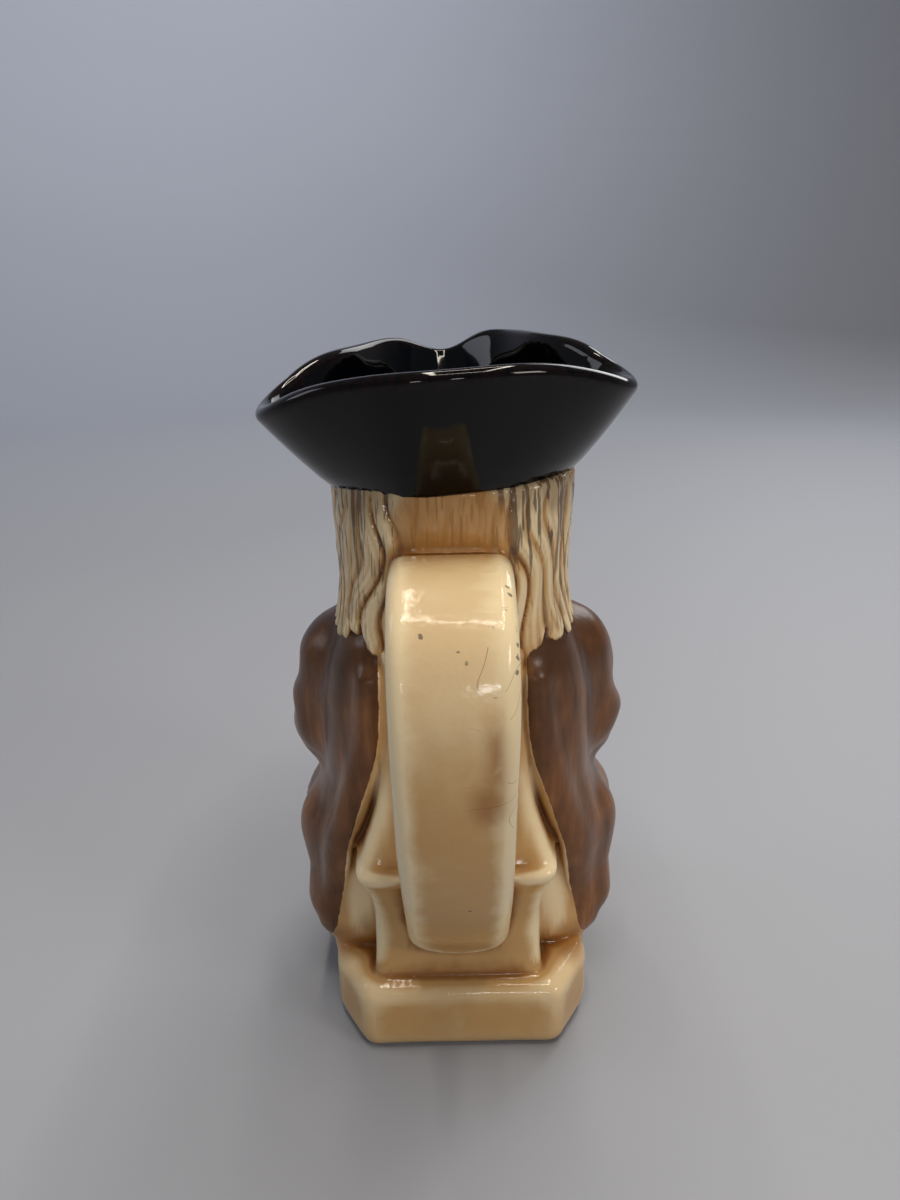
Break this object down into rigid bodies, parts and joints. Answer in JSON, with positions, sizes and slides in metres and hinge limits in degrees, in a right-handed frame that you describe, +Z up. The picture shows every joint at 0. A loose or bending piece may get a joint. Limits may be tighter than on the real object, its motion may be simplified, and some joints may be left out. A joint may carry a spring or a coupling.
{
  "type": "toby jug",
  "caption": "Earthenware jug cast as a seated man in a three-cornered hat, open at the hat, with a wide strap handle at his back.",
  "frame": {"origin": "centre of the plinth's underside", "axes": "+Z up; the man faces -Y and the strap handle is on +Y; +X is the man's left"},
  "size_m": [0.0812, 0.1157, 0.16],
  "materials": {
    "glazed_body": "clear gloss lead glaze over painted cream earthenware, crazed and pitted"
  },
  "bodies": {
    "root": {"toby_jug": "glazed_body"}
  },
  "joints": []
}
